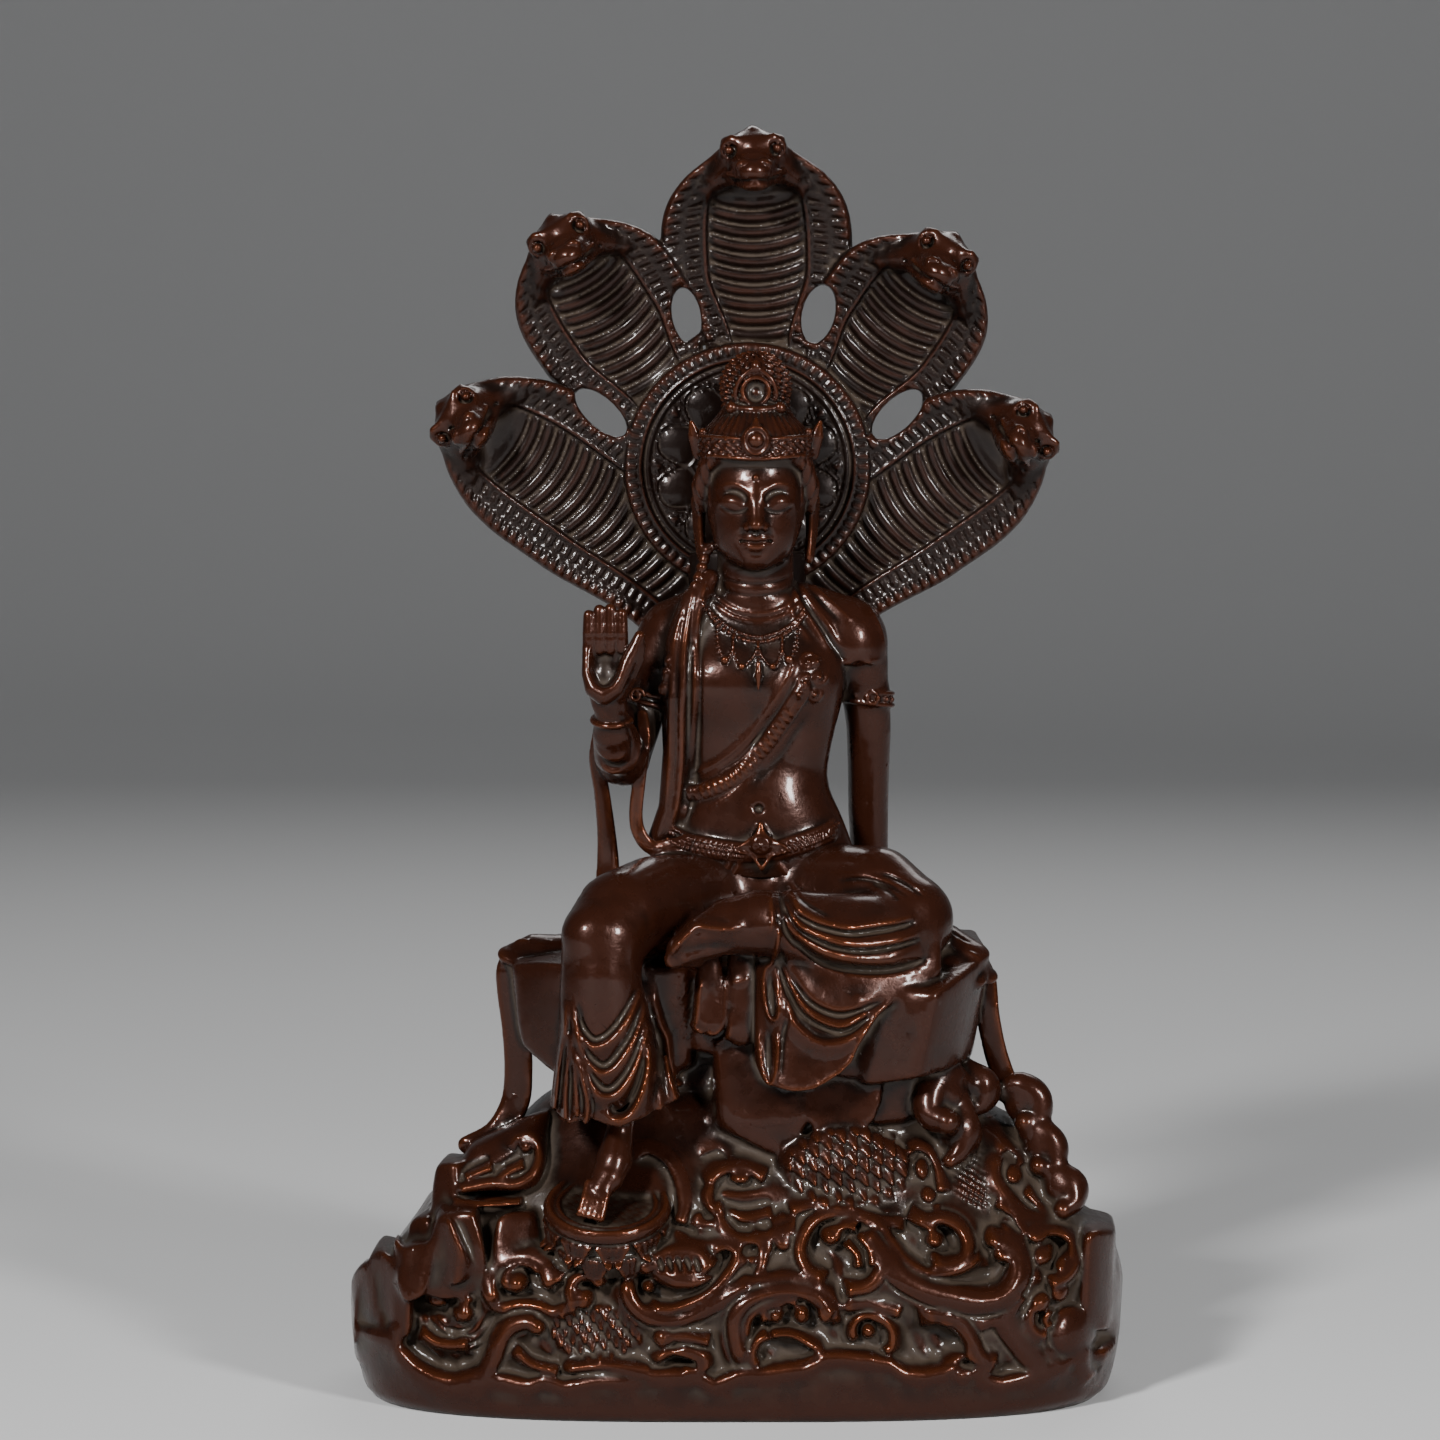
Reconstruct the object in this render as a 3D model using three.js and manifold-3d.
// Bronze statuette: a bodhisattva sits at ease on a rock above waves, under a hood of five cobras.
// Millimetres, +Z up, the figure faces -Y. The origin is the middle of the underside.
// The whole work is one casting, so it is a single closed solid.
import * as THREE from "three";
import { ConvexGeometry } from "three/addons/geometries/ConvexGeometry.js";
import { mergeVertices } from "three/addons/utils/BufferGeometryUtils.js";
import Module from "manifold-3d";

const wasm = await Module();
wasm.setup();
const { Manifold, Mesh } = wasm;

// Driving sizes
const BASE_HALF_WIDTH = 115;
const BASE_HALF_DEPTH = 62;
const FIGURE_X = 6; // the figure sits a little right of the base's middle
const HALO = { x: 3, z: 268, radius: 36.5, rim: 30.5, face: 19, back: 26 };
const COBRA_THICKNESS = 4.6;
const SNAP = 1e-3; // points closer than this are one point
const BRONZE_BROWN = 0x4a2a1c;

// The wave base: height, reach to the left, reach to the right and half depth of each level
const MOUND = [
  [0, 108, 107, 54],
  [4, 112, 111, 57],
  [24, BASE_HALF_WIDTH - 3, BASE_HALF_WIDTH - 3, BASE_HALF_DEPTH - 4],
  [40, 101, 111, 56],
  [58, 87, 96, 46],
  [72, 70, 88, 36],
  [86, 54, 68, 28],
];
const MOUND_SQUARENESS = 3;

// The torso and neck: height, half width, half depth, and the forward lean of the middle
const TORSO = [
  [148, 28, 17, -1],
  [158, 27.5, 16, -1],
  [167, 23.5, 14.5, 0],
  [180, 20.3, 12.5, 0],
  [192, 22, 13.5, -1],
  [203, 24.5, 14.5, -1],
  [213, 25.5, 14.5, 0],
  [221, 24, 12.5, 1],
  [227, 17, 10.5, 1],
  [231, 12, 9.5, 1],
  [244, 10.8, 9.5, 0],
];

const vec = (p) => new THREE.Vector3(p[0], p[1], p[2]);
const mix = THREE.MathUtils.lerp;
const signedPower = (v, e) => Math.sign(v) * Math.abs(v) ** e;

// Values between the rows of a table whose first column is the key
function lookUp(table, key) {
  const last = table.length - 1;
  if (key <= table[0][0]) return table[0].slice(1);
  if (key >= table[last][0]) return table[last].slice(1);
  const i = table.findIndex((row) => row[0] > key);
  const share = (key - table[i - 1][0]) / (table[i][0] - table[i - 1][0]);
  return table[i].slice(1).map((v, n) => mix(table[i - 1][n + 1], v, share));
}

// A closed surface as a solid, with its faces turned outwards
function solid(geometry) {
  const bare = new THREE.BufferGeometry();
  bare.setAttribute("position", geometry.getAttribute("position"));
  if (geometry.index) bare.setIndex(geometry.index);
  const merged = mergeVertices(bare, SNAP);
  const faces = [];
  for (let i = 0; i < merged.index.count; i += 3) {
    const [a, b, c] = [0, 1, 2].map((n) => merged.index.getX(i + n));
    if (a !== b && b !== c && c !== a) faces.push(a, b, c);
  }
  const vertProperties = new Float32Array(merged.attributes.position.array);
  const made = new Manifold(new Mesh({ numProp: 3, vertProperties, triVerts: new Uint32Array(faces) }));
  if (made.volume() > 0) return made;
  return new Manifold(new Mesh({ numProp: 3, vertProperties, triVerts: new Uint32Array(faces.reverse()) }));
}

// Rings of equal count joined into a skin, closed by a point at each end
function skin(rings, first, last) {
  const count = rings[0].length;
  const points = [first, ...rings.flat(), last];
  const faces = [];
  for (let i = 0; i < count; i++) {
    const j = (i + 1) % count;
    faces.push(0, 1 + j, 1 + i);
    for (let r = 0; r + 1 < rings.length; r++) {
      const low = 1 + r * count;
      const high = low + count;
      faces.push(low + i, low + j, high + j, low + i, high + j, high + i);
    }
    const end = 1 + (rings.length - 1) * count;
    faces.push(end + i, end + j, points.length - 1);
  }
  const geometry = new THREE.BufferGeometry().setFromPoints(points);
  geometry.setIndex(faces);
  return solid(geometry);
}

// A tapering limb along a smooth path; a radius is one number, or [across, deep].
// The swell function gives a share of the radius from the turn about the limb and the share along it.
function limb(path, radii, options = {}) {
  const { sides = 8, steps = 6, across = [1, 0, 0], round = 0.5, phase = 0.5, swell } = options;
  const curve = new THREE.CatmullRomCurve3(path.map(vec));
  const sizes = radii.map((r) => (Array.isArray(r) ? [r[0], r[1], 0] : [r, r, 0]));
  const sizeCurve = new THREE.CatmullRomCurve3(sizes.map(vec));
  const rings = [];
  for (let s = 0; s <= steps; s++) {
    const share = s / steps;
    const middle = curve.getPoint(share);
    const along = curve.getTangent(share);
    const size = sizeCurve.getPoint(share);
    const side = vec(across).addScaledVector(along, -vec(across).dot(along)).normalize();
    const up = new THREE.Vector3().crossVectors(along, side);
    const ring = [];
    for (let i = 0; i < sides; i++) {
      const turn = ((i + phase) / sides) * 2 * Math.PI;
      const grow = swell ? swell(turn, share) : 1;
      ring.push(
        middle.clone()
          .addScaledVector(side, size.x * grow * Math.cos(turn))
          .addScaledVector(up, size.y * grow * Math.sin(turn)),
      );
    }
    rings.push(ring);
  }
  const tip = (t, way) =>
    curve.getPoint(t).addScaledVector(curve.getTangent(t), way * round * sizeCurve.getPoint(t).y);
  return skin(rings, tip(0, -1), tip(1, 1));
}

function ball(centre, radii, around = 8, levels = 6) {
  const geometry = new THREE.SphereGeometry(1, around, levels);
  geometry.scale(...radii).translate(...centre);
  return solid(geometry);
}

const rock = (corners) => solid(new ConvexGeometry(corners.map(vec)));

// Level rings: each row is [height, half width, half depth, middle y], about a vertical axis
function levels(rows, middleX, sides) {
  const rings = rows.map(([z, wide, deep, y]) =>
    Array.from({ length: sides }, (_, i) => {
      const turn = (i / sides) * 2 * Math.PI;
      return vec([middleX + wide * Math.cos(turn), y + deep * Math.sin(turn), z]);
    }),
  );
  const low = rows[0];
  const high = rows[rows.length - 1];
  return skin(rings, vec([middleX, low[3], low[0]]), vec([middleX, high[3], high[0] + high[2] * 0.25]));
}

// The point of the wave base's surface, at a height, that lies out from the middle through x and y
function moundAt(x, y, z, lift = 0) {
  const [left, right, deep] = lookUp(MOUND, z);
  const wide = x < 0 ? left : right;
  const power = MOUND_SQUARENESS;
  const size = (Math.abs(x / wide) ** power + Math.abs(y / deep) ** power) ** (1 / power);
  return vec([x / size, y / size, z]).addScaledVector(vec([x, y, 0]).normalize(), lift);
}

// The y of the front of the wave base at an x and a height
function moundFront(x, z) {
  const [left, right, deep] = lookUp(MOUND, z);
  const share = Math.min(0.98, Math.abs(x) / (x < 0 ? left : right));
  return -deep * (1 - share ** MOUND_SQUARENESS) ** (1 / MOUND_SQUARENESS);
}

function mound() {
  const sides = 28;
  const power = 2 / MOUND_SQUARENESS;
  const rings = MOUND.map(([z]) =>
    Array.from({ length: sides }, (_, i) => {
      const turn = (i / sides) * 2 * Math.PI;
      const [left, right, deep] = lookUp(MOUND, z);
      const wide = Math.cos(turn) < 0 ? left : right;
      return vec([wide * signedPower(Math.cos(turn), power), deep * signedPower(Math.sin(turn), power), z]);
    }),
  );
  return skin(rings, vec([0, 0, 0]), vec([0, 0, MOUND[MOUND.length - 1][0] + 1]));
}

// A wave crest that curls to a knob: a spiral ridge laid on the base about the point at x, y and z
function scroll({ x, y, z, radius, thick, hand = 1, start = 0, steps = 5 }) {
  const turns = 1.15;
  const outward = vec([x / BASE_HALF_WIDTH, y / BASE_HALF_DEPTH, 0.25]).normalize();
  const across = new THREE.Vector3(-outward.y, outward.x, 0).normalize();
  const path = [];
  const radii = [];
  for (let s = 0; s <= steps; s++) {
    const share = s / steps;
    const reach = radius * (1 - 0.78 * share);
    const angle = start + hand * turns * 2 * Math.PI * share;
    const aside = reach * Math.cos(angle);
    const height = Math.max(8, z + reach * Math.sin(angle));
    path.push(moundAt(x + aside * across.x, y + aside * across.y, height, -0.1 * thick).toArray());
    const swollen = thick * (0.35 + 0.65 * Math.sin(Math.PI * (0.1 + 0.62 * share)));
    radii.push([swollen * 1.1, swollen]);
  }
  return limb(path, radii, { sides: 4, steps, across: outward.toArray(), phase: 0 });
}

// The crests that show in front: x, height, radius, thickness, hand, start
const FRONT_SCROLLS = [
  [-84, 29, 16, 4.4, -1, Math.PI],
  [-62, 34, 9, 3.4, 1, Math.PI],
  [-42, 41, 7, 3, -1, Math.PI],
  [-19, 41, 14, 4, 1, 0],
  [-8, 22, 7, 3, -1, 0],
  [14, 28, 16, 4.2, -1, Math.PI],
  [38, 23, 6, 3, -1, 0],
  [30, 49, 14, 4.2, 1, Math.PI],
  [58, 45, 15, 4, -1, Math.PI],
  [80, 42, 11, 3.6, 1, -2],
  [96, 40, 9, 3.4, 1, -1],
  [86, 26, 7, 3.2, -1, 1],
];
const LONG_SCROLL = 10; // a crest wider than this takes more steps
const SIDE_SCROLLS = 5; // plainer ones, evenly spaced round the sides and the back

function waves() {
  const front = FRONT_SCROLLS.map(([x, z, radius, thick, hand, start]) =>
    scroll({ x, y: moundFront(x, z), z, radius, thick, hand, start, steps: radius > LONG_SCROLL ? 8 : 5 }),
  );
  const rest = Array.from({ length: SIDE_SCROLLS }, (_, i) => {
    const turn = mix(-0.12, Math.PI + 0.12, i / (SIDE_SCROLLS - 1));
    const z = i % 2 ? 46 : 30;
    const { x, y } = moundAt(Math.cos(turn), Math.sin(turn), z);
    return scroll({ x, y, z, radius: i % 2 ? 11 : 14, thick: 3.6, hand: i % 2 ? 1 : -1 });
  });
  return [...front, ...rest];
}

// The scaled body that coils through the waves, right of the middle, and its small return at the left
function serpent() {
  return [
    limb([[14, -22, 62], [26, -37, 66], [42, -40, 70], [56, -33, 74], [62, -20, 72]], [4, 10, 12, 10, 5], {
      steps: 6, sides: 8,
    }),
    limb([[-66, -47, 22], [-52, -52, 28], [-38, -52, 26]], [5, 9, 5], { steps: 3, sides: 6 }),
    limb([[62, -30, 80], [66, -34, 88], [68, -32, 94]], [5, 6, 4], { steps: 2, sides: 6 }),
    limb([[58, -40, 52], [62, -42, 62], [60, -38, 74]], [3, 4.5, 3], { steps: 3, sides: 6 }),
  ];
}

// The rock: a narrow stump below, a broad faceted seat above, and three outcrops at its sides
function seat() {
  const stump = [
    [[-54, -20, 56], [-46, -36, 54], [-8, -38, 54], [-54, 22, 56], [-36, 32, 54], [20, 34, 54],
      [-50, -16, 98], [-42, -30, 98], [-10, -31, 98], [-48, 20, 98], [-34, 28, 98], [20, 30, 98]],
    [[-8, -40, 54], [26, -43, 54], [52, -38, 54], [68, -20, 56], [68, 22, 56], [40, 34, 54],
      [-10, 34, 54], [-6, -33, 100], [24, -37, 100], [44, -35, 96], [60, -18, 96],
      [60, 22, 96], [38, 30, 98], [-6, 30, 98]],
  ];
  const ledge = [
    [[-66, -24, 127], [-64, -28, 104], [-48, -36, 90], [-30, -30, 88], [-14, -33, 98], [-13, -35, 127],
      [-47, -38, 131], [-66, 24, 128], [-60, 26, 98], [-36, 38, 92], [0, 38, 92], [0, 38, 129],
      [-40, 38, 131]],
    [[-16, -33, 126], [-14, -33, 102], [8, -36, 98], [34, -42, 92], [46, -40, 84], [41, -46, 121],
      [58, -44, 125], [66, -28, 90], [73, -24, 131], [73, 24, 131], [66, 26, 92], [44, 38, 88],
      [44, 38, 131], [-4, 38, 129], [-4, 36, 94]],
  ];
  const outcrops = [
    [[-99, -30, 44], [-74, -50, 44], [-70, -20, 44], [-99, 20, 44], [-88, -32, 60], [-72, -42, 66],
      [-66, -10, 70], [-88, 12, 64]],
    [[-115, -14, 20], [-106, -34, 22], [-94, -46, 24], [-94, 20, 22], [-108, -14, 40], [-102, -30, 42],
      [-92, -40, 40], [-94, 16, 42]],
    [[94, -36, 18], [110, -22, 18], [115, 14, 20], [96, 24, 20], [93, -30, 50], [107, -18, 51],
      [110, 10, 52], [96, 20, 52]],
  ];
  return [...stump, ...ledge, ...outcrops].map(rock);
}

// The lotus under the foot, tilted a little towards the viewer
function lotus() {
  const profile = [[0, -14], [10, -14], [15.5, -9], [17.8, -3], [15.5, 0.5], [13.6, -0.8], [0, -0.8]];
  const geometry = new THREE.LatheGeometry(profile.map(([r, h]) => new THREE.Vector2(r, h)), 16);
  geometry.rotateX(Math.PI / 2 + THREE.MathUtils.degToRad(12));
  geometry.translate(-37, -44, 60);
  return [solid(geometry)];
}

function torso() {
  const body = levels(TORSO, FIGURE_X, 12);
  const trunk = limb([[4, 14, 128], [4, 14, 165], [3, 15, 200], [3, 21, 232], [3, 23, 250]],
    [[14, 9], [12, 8], [13, 7], [19, 6], [22, 4]], { steps: 3, sides: 6 });
  return [body, trunk];
}

function head() {
  const skullAndCrown = levels(
    [[240.3, 4.5, 5, -8], [242.5, 9, 9.5, -7.5], [247, 12.4, 12.8, -6.5], [254, 14.6, 15, -5.5],
      [263, 15.2, 16, -5], [271.2, 15.2, 16.4, -4.5], [272.4, 17, 18, -4], [279, 17.6, 18.2, -4],
      [280.2, 15.8, 16, -3.5], [285, 12.6, 13, -3], [291, 10.4, 10.4, -2.5], [298, 7.4, 7.4, -2]],
    FIGURE_X, 12,
  );
  const nose = limb([[FIGURE_X, -20, 264], [FIGURE_X, -22, 258], [FIGURE_X, -22.6, 254]], [1.3, 1.9, 2.3],
    { steps: 1, sides: 4 });
  const jewel = ball([FIGURE_X, -22.5, 276.5], [3.6, 2.2, 4.2], 6, 3);
  const shrine = ball([FIGURE_X, -12.5, 290], [5, 4, 6.5], 6, 4);
  const ears = [-1, 1].map((side) => {
    const x = (away) => FIGURE_X + side * away;
    return limb([[x(15.6), -3, 266], [x(17.2), -2, 256], [x(17), -3, 242]],
      [[1.8, 3.4], [2, 3.8], [1.6, 2.6]], { steps: 2, sides: 4 });
  });
  return [skullAndCrown, nose, jewel, shrine, ...ears];
}

// The raised hand, palm forwards, and the arm that props the body up behind the thigh
function arms() {
  const raised = limb(
    [[-13, 3, 221], [-25, 3, 215], [-30, 1, 200], [-32.5, -5, 185], [-35, -17, 190], [-36.4, -26, 199],
      [-37, -30, 208], [-37, -32, 217]],
    [9, 8.6, 7, 7.6, 6.2, [4.8, 4.4], [6.4, 3.2], [6, 2.4]], { steps: 9, sides: 6 });
  const thumb = limb([[-33, -30, 205], [-30, -33, 211], [-28.4, -34, 219]], [2.6, 2.2, 1.6],
    { steps: 2, sides: 5 });
  const fingers = [12.4, 14.6, 15, 13.2].map((length, i) => {
    const x = -41.5 + i * 3.05;
    return limb([[x, -32, 215], [x, -33.5, 215 + length]], [1.45, 1.4], { steps: 1, sides: 5 });
  });
  const propped = limb(
    [[25, 2, 222], [36, 3, 218], [40.4, 3.5, 210], [38.2, 6.5, 200], [39.5, 12, 182], [42, 17, 160],
      [43.5, 14, 147], [47, 5, 135]],
    [8.5, 9.8, 9, 7, 5.8, 5.2, 5, [5, 3]], { steps: 9, sides: 6 });
  return [raised, thumb, ...fingers, propped];
}

// The pendent leg, with the skirt that flares about the shin, and its bare foot on the lotus
function pendentLeg() {
  const folds = (turn, share) => {
    const low = THREE.MathUtils.clamp((share - 0.45) / 0.55, 0, 1);
    return 1 + 0.12 * low * Math.cos(7 * turn + 1.2) + 0.06 * low * Math.sin(26 * share);
  };
  return [
    limb([[-2, -2, 152], [-20, -22, 148], [-38.5, -43, 139], [-38.5, -45, 122], [-37, -43.5, 104],
      [-35.6, -43, 87]],
      [15, 14, 12.6, 11.8, [14, 12.8], [18.2, 14.2]], { steps: 10, sides: 14, round: 0, swell: folds }),
    limb([[-34.6, -41, 92], [-35, -40.5, 80], [-36.4, -43, 69], [-40, -51, 62]],
      [4.6, 4.2, 4.6, [4.4, 2.4]], { steps: 5, sides: 6 }),
  ];
}

// The folded leg lies across the seat, its sole turned to the other knee
function foldedLeg() {
  const folds = (turn, share) => {
    const along = Math.sin(Math.PI * THREE.MathUtils.clamp((share - 0.25) / 0.5, 0, 1));
    return 1 + 0.11 * along * Math.cos(5 * turn + 9 * share);
  };
  return limb(
    [[12, -2, 152], [34, -15, 149], [54, -29, 139], [34, -40, 137], [10, -44, 141.5], [-5, -47, 140],
      [-18, -50, 132]],
    [15, 14.5, 12.8, [11, 10.5], [7, 6], [5.4, 5.6], [2.6, 3.4]],
    { steps: 11, sides: 10, across: [0, 0, 1], swell: folds });
}

// The cloth that falls from the folded leg over the rock, with nested folds and two small ends beside it
function fall() {
  const left = 8.6;
  const right = 62;
  const columns = 10;
  const rows = 6;
  const rings = [];
  for (let c = 0; c <= columns; c++) {
    const share = c / columns;
    const top = mix(138, 132, share);
    const bottom = 94 + 34 * Math.max(0, share - 0.22) ** 1.25 + 14 * Math.max(0, 0.18 - share) ** 1.2;
    const x = mix(left, right, share);
    const ring = [];
    for (let r = 0; r <= rows; r++) {
      const drop = r / rows;
      const fold = 2 * Math.cos(2 * Math.PI * (drop * 2.4 + 1.1 * Math.abs(share - 0.42)));
      ring.push(vec([x, mix(-45, -50.5, drop) - fold * (1 - share), mix(top, bottom, drop)]));
    }
    ring.push(vec([x, -38, bottom]), vec([x, -34, top]));
    rings.push(ring);
  }
  const middleOf = (ring) => ring.reduce((sum, p) => sum.add(p), vec([0, 0, 0])).divideScalar(ring.length);
  const smallEnd = { steps: 2, sides: 5 };
  return [
    skin(rings, middleOf(rings[0]), middleOf(rings[columns])),
    limb([[-7, -40, 134], [-6.6, -36, 116], [-4.5, -34, 107]], [[3, 3], [4, 5], [2.2, 3]], smallEnd),
    limb([[3, -40, 134], [3.4, -38, 114], [2, -36, 103]], [[4.6, 3], [4.8, 5], [3.6, 3]], smallEnd),
  ];
}

// A raised line that follows the torso's front through points given as [x, z]
function torsoLine(points, width, height) {
  const path = points.map(([x, z]) => {
    const [wide, deep, y] = lookUp(TORSO, z);
    const share = THREE.MathUtils.clamp((x - FIGURE_X) / wide, -0.97, 0.97);
    return [x, y - deep * Math.sqrt(1 - share * share) + height * 0.2, z];
  });
  return limb(path, path.map(() => [width, height]), { steps: 4, sides: 4, across: [0, 0, 1] });
}

function dress() {
  return [
    torsoLine([[28, 218], [24, 205], [12, 190], [-2, 181], [-12, 176]], 3, 1.4),
    torsoLine([[-9, 228], [-13, 214], [-14, 195], [-15, 175], [-18, 163]], 2.6, 1.6),
    torsoLine([[-19, 161], [-8, 157.5], [6, 155.5], [20, 158.5], [32, 164]], 2.6, 1.6),
    ball([FIGURE_X, -16.5, 156.5], [4.4, 2, 5], 6, 3),
  ];
}

// The scarf: two ends hang from the raised forearm, and its tails run down both sides of the rock
function scarf() {
  const flat = [[2.6, 1.4], [2.4, 1.4], [2.4, 1.4], [2.6, 1.4]];
  const hang = { steps: 4, sides: 4 };
  return [
    limb([[-38, -12, 190], [-39, -8, 176], [-37.4, -2, 160], [-38.5, 2, 138]], flat, hang),
    limb([[-27, -10, 202], [-28.5, -12, 186], [-29.6, -12, 171], [-26.5, -10, 162], [-19, -8, 159]],
      [[1.4, 3], [1.4, 2.6], [1.4, 2.2], [1.4, 2.4], [1.2, 2.4]], { ...hang, across: [0, 1, 0.01] }),
    limb([[-16, 8, 196], [-17, 9, 178], [-16, 8, 160]], [[2, 2.4], [2.2, 2], [2, 2]],
      { steps: 2, sides: 4 }),
    limb([[-56, 2, 131], [-66, -4, 126], [-67, -8, 104], [-70, -10, 84], [-80, -10, 66]],
      [[1.4, 3], [1.6, 3.4], [1.6, 3.6], [1.8, 4], [2.4, 4]], { steps: 6, sides: 5, across: [1, 0, 0.01] }),
    limb([[58, 0, 133], [70, -4, 126], [75, -6, 108], [79.5, -8, 84], [89, -6, 70]],
      [[1.4, 3], [1.6, 3.4], [1.6, 3.6], [1.8, 4], [2.4, 4]], { steps: 6, sides: 5, across: [1, 0, 0.01] }),
  ];
}

// The halo: a rimmed disc with eight round-petalled bosses
function halo() {
  const { radius, rim, face, back } = HALO;
  const profile = [[0, face + 3], [rim - 2, face + 3], [rim, face], [rim + 1.6, face + 1.8],
    [radius, face + 2], [radius - 1, back], [0, back]];
  const geometry = new THREE.LatheGeometry(profile.map(([r, y]) => new THREE.Vector2(r, y)), 28);
  geometry.translate(HALO.x, 0, HALO.z);
  const petals = Array.from({ length: 8 }, (_, i) => {
    const turn = THREE.MathUtils.degToRad(15 + 45 * i);
    const out = 21.5;
    const centre = [HALO.x + out * Math.cos(turn), face + 2.4, HALO.z + out * Math.sin(turn)];
    return ball(centre, [6.4, 2.6, 6.4], 6, 3);
  });
  return [solid(geometry), ...petals];
}

// Half width of a cobra's hood along its neck, as a share of its widest; the foot's own share comes first
const hoodShape = (foot) => [[0, foot], [0.16, mix(foot, 1, 0.12)], [0.38, mix(foot, 1, 0.88)], [0.5, 1],
  [0.66, 0.99], [0.78, 0.88], [0.88, 0.68], [0.95, 0.46], [1, 0.26]];

// Each cobra: foot, bend and top of the hood as [x, z], half width, the foot's share of that, and
// how far the top leans forward
const COBRAS = [
  { foot: [7, 298], bend: [6, 330], top: [4.6, 361], half: 28, narrow: 0.56, lean: 15 },
  { foot: [-19, 287], bend: [-37, 309], top: [-52, 337], half: 25, narrow: 0.66, lean: 14 },
  { foot: [29, 285], bend: [46, 307], top: [61, 332], half: 25, narrow: 0.66, lean: 14 },
  { foot: [-12, 234], bend: [-48, 270], top: [-84, 287], half: 22.4, narrow: 0.94, lean: 13 },
  { foot: [20, 234], bend: [56, 268], top: [88, 283], half: 22.4, narrow: 0.94, lean: 13 },
];
const COBRA_RIBS = 5;

function cobra({ foot, bend, top, half, narrow, lean }) {
  const spine = new THREE.QuadraticBezierCurve3(
    vec([foot[0], HALO.face + 3, foot[1]]),
    vec([bend[0], HALO.face + 3, bend[1]]),
    vec([top[0], HALO.face + 3 - lean, top[1]]),
  );
  const out = [-1, -0.82, -0.6, 0, 0.6, 0.82, 1];
  const rise = [0.6, 2.4, 1.2, 0, 1.2, 2.4, 0.6];
  const rows = COBRA_RIBS * 2;
  const rings = [];
  for (let r = 0; r <= rows; r++) {
    const v = r / rows;
    const middle = spine.getPoint(v);
    const along = spine.getTangent(v);
    const side = new THREE.Vector3(along.z, 0, -along.x).normalize();
    const front = new THREE.Vector3().crossVectors(along, side).multiplyScalar(-1).normalize();
    if (front.y > 0) front.multiplyScalar(-1);
    const wide = half * lookUp(hoodShape(narrow), v)[0];
    const ring = out.map((u, i) => {
      const rib = Math.abs(u) < 0.7 ? (r % 2 ? 1.6 : 0) : 0;
      return middle.clone().addScaledVector(side, u * wide).addScaledVector(front, rise[i] + rib);
    });
    [0.6, -0.6].forEach((u) => {
      ring.push(middle.clone().addScaledVector(side, u * wide).addScaledVector(front, -COBRA_THICKNESS));
    });
    rings.push(ring);
  }
  const centre = (ring) => ring.reduce((sum, p) => sum.add(p), vec([0, 0, 0])).divideScalar(ring.length);
  const hood = skin(rings, centre(rings[0]), centre(rings[rows]));
  return [hood, cobraHead(spine)];
}

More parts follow.
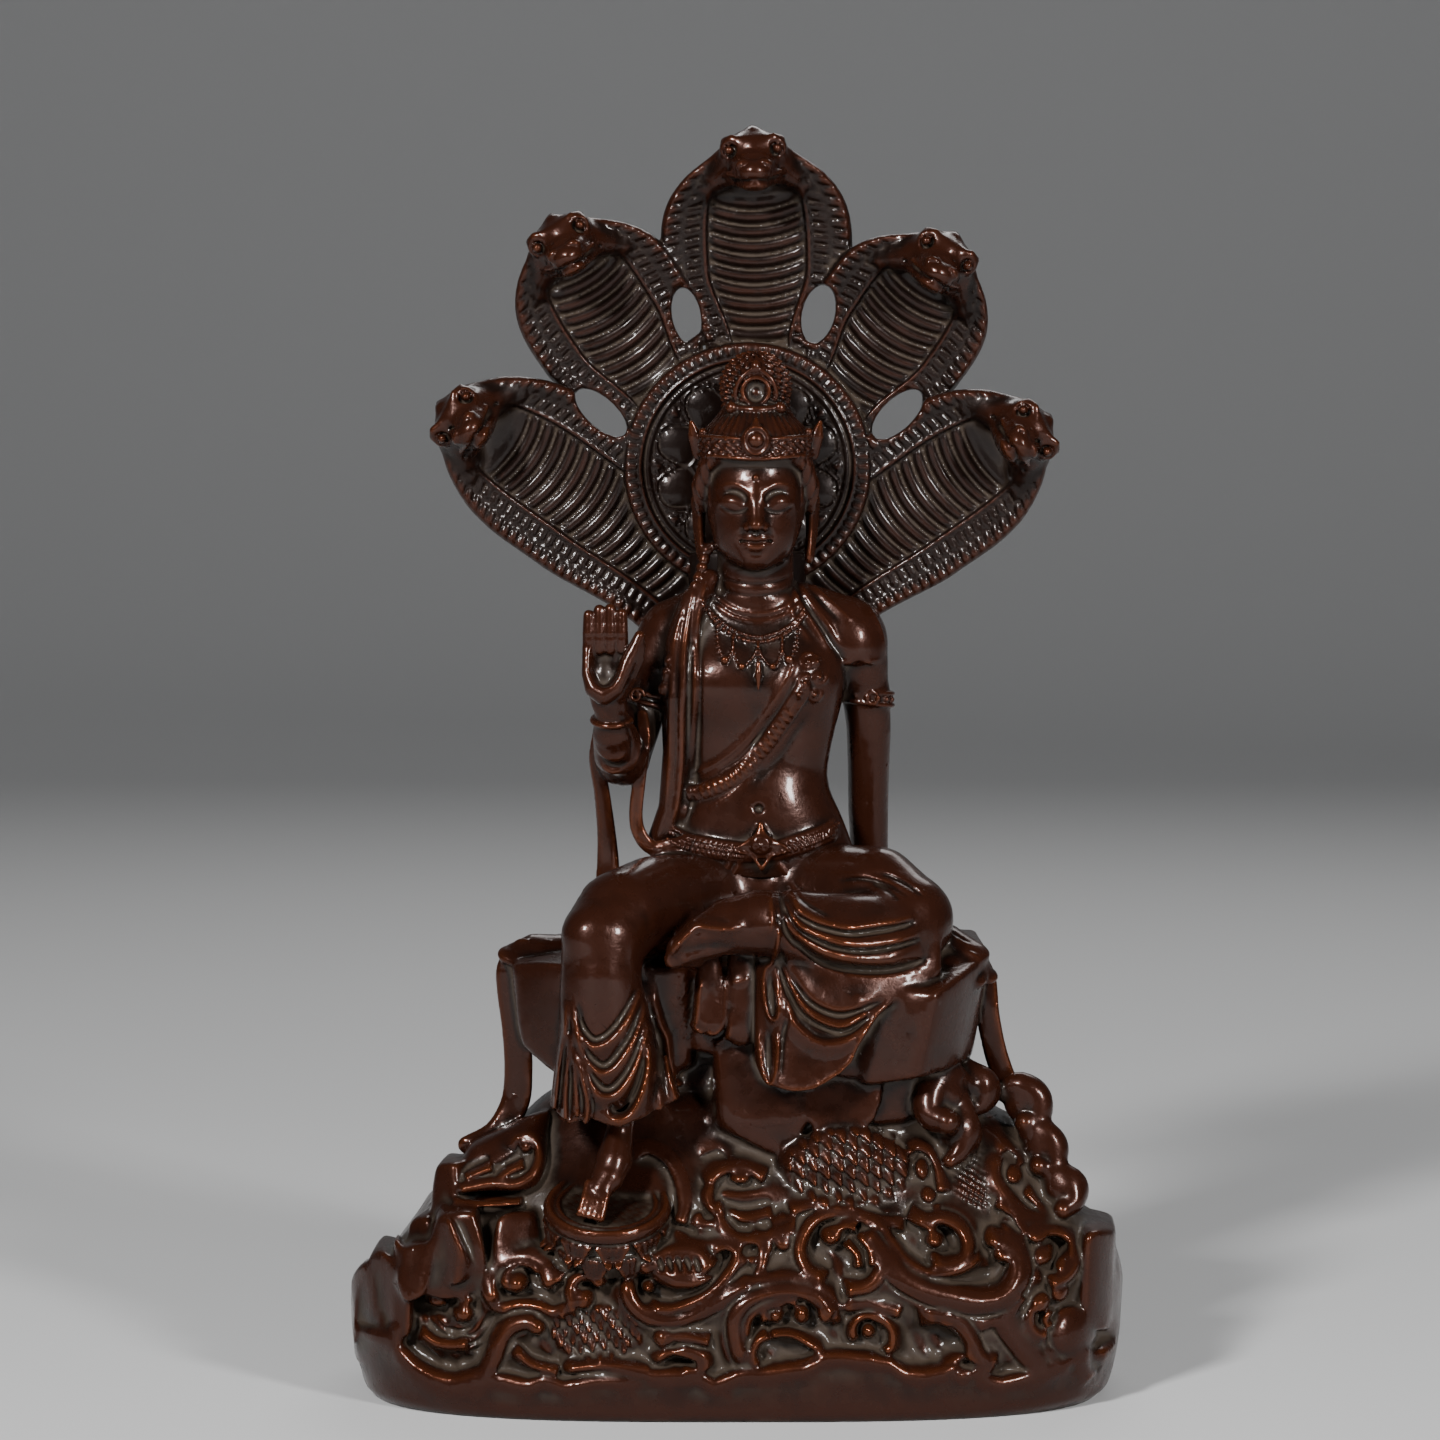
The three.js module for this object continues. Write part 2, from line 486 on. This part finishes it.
// The head reaches forward from the top of the hood, with a brow that bulges over each eye
function cobraHead(spine) {
  const base = spine.getPoint(0.95);
  const up = spine.getTangent(1);
  up.y = 0;
  up.normalize();
  const side = [up.z, 0, -up.x];
  const at = (ahead, rise) => base.clone().add(vec([0, -ahead, 0])).addScaledVector(up, rise).toArray();
  const brows = (turn, share) => {
    const bulge = Math.exp(-(((share - 0.5) / 0.16) ** 2));
    const upward = Math.sin(2 * Math.abs(turn - Math.PI)) * Math.sign(Math.sin(turn));
    return 1 + 0.32 * bulge * Math.max(0, upward);
  };
  return limb([at(-4, -2), at(2, 1), at(8, 2), at(14, -0.6), at(18, -3)],
    [[9, 6], [9.6, 7.4], [8.8, 6.6], [6.8, 4.8], [4.4, 3.2]], { steps: 4, across: side, swell: brows });
}

// The four gaps through the hood: x, height, half length, half width, and the turn of the long axis
const GAPS = [
  [-14.9, 312.5, 8.2, 4.2, 100],
  [24, 313, 8.6, 4.8, 77],
  [-40, 284, 9.4, 4.2, 138],
  [47.3, 283.5, 9.4, 4.4, 44],
];

function gapCutters() {
  return GAPS.map(([x, z, long, wide, turn]) => {
    const geometry = new THREE.CylinderGeometry(1, 1, 60, 14);
    geometry.scale(long, 1, wide).rotateY(THREE.MathUtils.degToRad(-turn)).translate(x, 15, z);
    return solid(geometry);
  });
}

function statue() {
  const hood = Manifold.union([...halo(), ...COBRAS.flatMap(cobra)]);
  const pierced = gapCutters().reduce((left, cutter) => left.subtract(cutter), hood);
  const cast = Manifold.union([
    mound(),
    ...waves(),
    ...serpent(),
    ...seat(),
    ...lotus(),
    ...torso(),
    ...head(),
    ...arms(),
    ...pendentLeg(),
    foldedLeg(),
    ...fall(),
    ...dress(),
    ...scarf(),
    pierced,
  ]);
  // Slivers between parts that touch are left out
  const bodies = solid(geometryOf(cast)).decompose();
  return bodies.reduce((most, body) => (body.volume() > most.volume() ? body : most));
}

function geometryOf(made) {
  const { vertProperties, triVerts } = made.getMesh();
  const geometry = new THREE.BufferGeometry();
  geometry.setAttribute("position", new THREE.BufferAttribute(vertProperties, 3));
  geometry.setIndex(new THREE.BufferAttribute(triVerts, 1));
  return geometry;
}

// A finished solid as a named mesh, set on the middle of its underside
function meshOf(made, name, material) {
  const geometry = geometryOf(made);
  geometry.computeBoundingBox();
  const { min, max } = geometry.boundingBox;
  geometry.translate(-(min.x + max.x) / 2, -(min.y + max.y) / 2, -min.z);
  geometry.computeVertexNormals();
  const mesh = new THREE.Mesh(geometry, material);
  mesh.name = name;
  return mesh;
}

const bronze = new THREE.MeshStandardMaterial({ color: BRONZE_BROWN, roughness: 0.35, metalness: 0.8 });
const group = new THREE.Group();
group.add(meshOf(statue(), "naga_bodhisattva_statue", bronze));

export default group;
